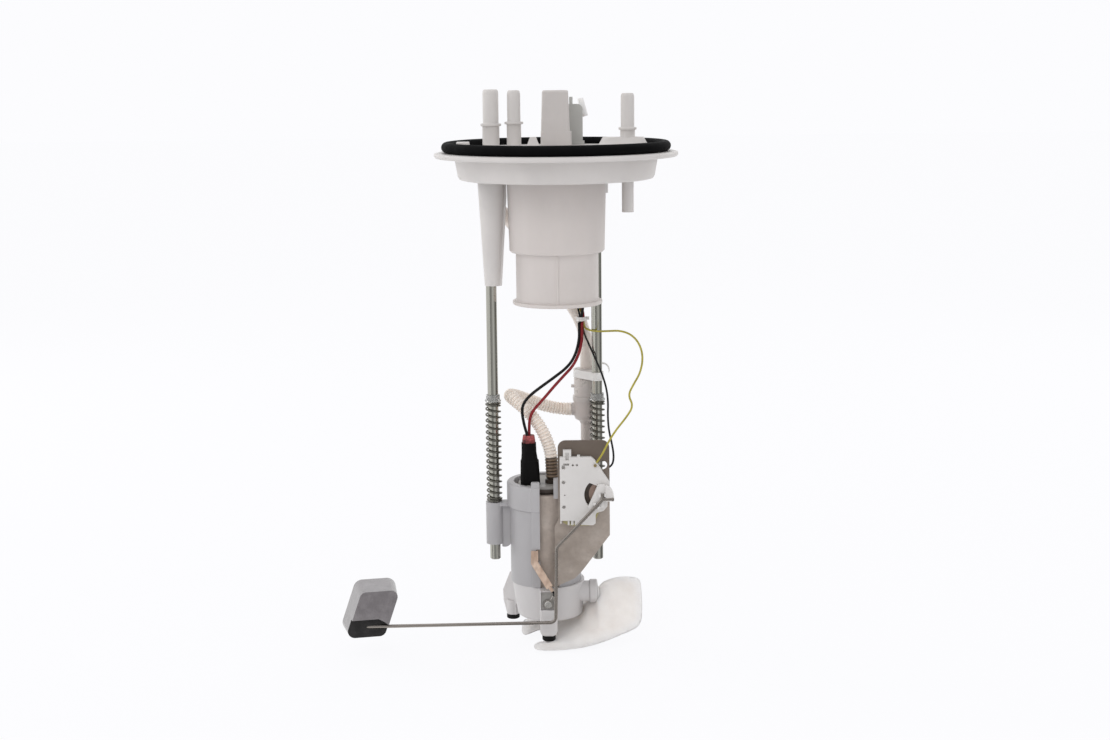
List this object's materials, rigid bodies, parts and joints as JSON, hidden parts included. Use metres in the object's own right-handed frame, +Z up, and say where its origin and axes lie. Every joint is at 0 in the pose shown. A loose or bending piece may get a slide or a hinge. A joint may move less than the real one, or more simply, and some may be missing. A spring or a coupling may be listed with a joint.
{
  "type": "fuel pump module",
  "caption": "In-tank fuel pump module: flange with line fittings, vent valve, sprung carrier on two guide rods, pump, strainer and a float-arm level sender.",
  "frame": {"origin": "flange axis, in the plane of the rim underside that rests on the tank opening", "axes": "+Z up out of the tank, +X to the side of the sender and strainer, -Y the front with the float arm"},
  "size_m": [0.2016, 0.1428, 0.3279],
  "materials": {
    "flange_white": "semi-gloss moulded acetal, off-white",
    "seal_black": "black rubber, slight sheen",
    "connector_white": "off-white moulded plastic",
    "terminal_metal": "tinned brass",
    "sensor_grey": "grey plastic",
    "elbow_white": "milky plastic",
    "valve_white": "off-white acetal",
    "valve_float": "acetal",
    "rod_steel": "ground and plated",
    "spring_steel": "spring steel wire",
    "retainer_clear": "milky translucent plastic",
    "regulator_plastic": "translucent grey-white plastic",
    "clip_white": "white plastic",
    "nylon_natural": "natural nylon",
    "loom_black": "black sleeve",
    "wire_black": "black insulation",
    "wire_red": "dark red insulation",
    "wire_olive": "olive insulation",
    "boot_rubber": "black moulded rubber",
    "grommet_red": "red rubber",
    "sleeve_white": "cool white acetal",
    "cup_white": "white acetal",
    "can_steel": "zinc-plated steel",
    "cap_grey": "grey plastic",
    "barb_dark": "dark brown-black plastic",
    "motor_dark": "dark metal and ferrite",
    "plate_galvanised": "galvanised sheet",
    "housing_white": "white plastic",
    "card_ceramic": "pale ceramic",
    "arm_steel": "drawn steel wire",
    "float_foam": "closed-cell foam rubber, dark grey",
    "strap_tin": "tinned copper strip",
    "lug_steel": "plated steel",
    "foot_rubber": "black rubber",
    "strainer_fabric": "non-woven nylon filter fabric"
  },
  "bodies": {
    "flange": {"flange_plate": "flange_white", "seal_ring": "seal_black", "connector_shell": "connector_white", "connector_terminals": "terminal_metal", "pressure_sensor": "sensor_grey", "sensor_elbow": "elbow_white", "vent_valve_body": "valve_white", "vent_valve_cage": "valve_white", "left_guide_rod": "rod_steel", "right_guide_rod": "rod_steel", "rod_stop_rings": "rod_steel", "left_spring": "spring_steel", "right_spring": "spring_steel", "left_spring_retainer": "retainer_clear", "right_spring_retainer": "retainer_clear", "regulator_body": "regulator_plastic", "regulator_cap": "regulator_plastic", "regulator_clip": "clip_white", "feed_pipe": "nylon_natural", "wire_loom": "loom_black", "cable_tie": "clip_white", "outlet_hose": "nylon_natural", "power_wire_black": "wire_black", "power_wire_red": "wire_red", "sender_signal_wire": "wire_olive", "sender_ground_wire": "wire_black"},
    "valve_float": {"vent_float": "valve_float"},
    "carrier": {"pump_sleeve": "sleeve_white", "lower_cup": "cup_white", "rubber_feet": "foot_rubber", "ground_tab": "lug_steel", "ground_screw": "lug_steel", "ground_terminal": "lug_steel", "ground_strap": "strap_tin", "ground_wire": "wire_black", "pump_can": "can_steel", "pump_top_cap": "cap_grey", "outlet_barb": "barb_dark", "motor_magnets": "motor_dark", "pump_end_cap": "cap_grey", "connector_boot": "boot_rubber", "wire_grommet": "grommet_red", "sender_bracket": "plate_galvanised", "sender_housing": "housing_white", "resistor_card": "card_ceramic", "sender_terminals": "terminal_metal", "strainer": "strainer_fabric", "strainer_collar": "cup_white"},
    "pump_rotor": {"armature": "motor_dark", "impeller": "motor_dark"},
    "sender_arm": {"sender_rotor": "housing_white", "float_arm": "arm_steel", "sender_float": "float_foam", "wiper_contact": "terminal_metal"}
  },
  "joints": [
    {"name": "carrier_slide", "type": "slide", "parent": "flange", "child": "carrier", "axis": [0, 0, 1], "range_m": [0, 0.038], "deforming": ["left_spring", "right_spring", "outlet_hose", "power_wire_black", "power_wire_red", "sender_signal_wire", "sender_ground_wire"]},
    {"name": "float_swing", "type": "hinge", "parent": "carrier", "child": "sender_arm", "pos_m": [0.0247, -0.0308, -0.1966], "axis": [0, 1, 0], "range_deg": [0, 65]},
    {"name": "rotor_spin", "type": "hinge", "parent": "carrier", "child": "pump_rotor", "pos_m": [-0.0086, 0, -0.23], "axis": [0, 0, 1], "continuous": true},
    {"name": "valve_lift", "type": "slide", "parent": "flange", "child": "valve_float", "axis": [0, 0, 1], "range_m": [0, 0.008]}
  ]
}
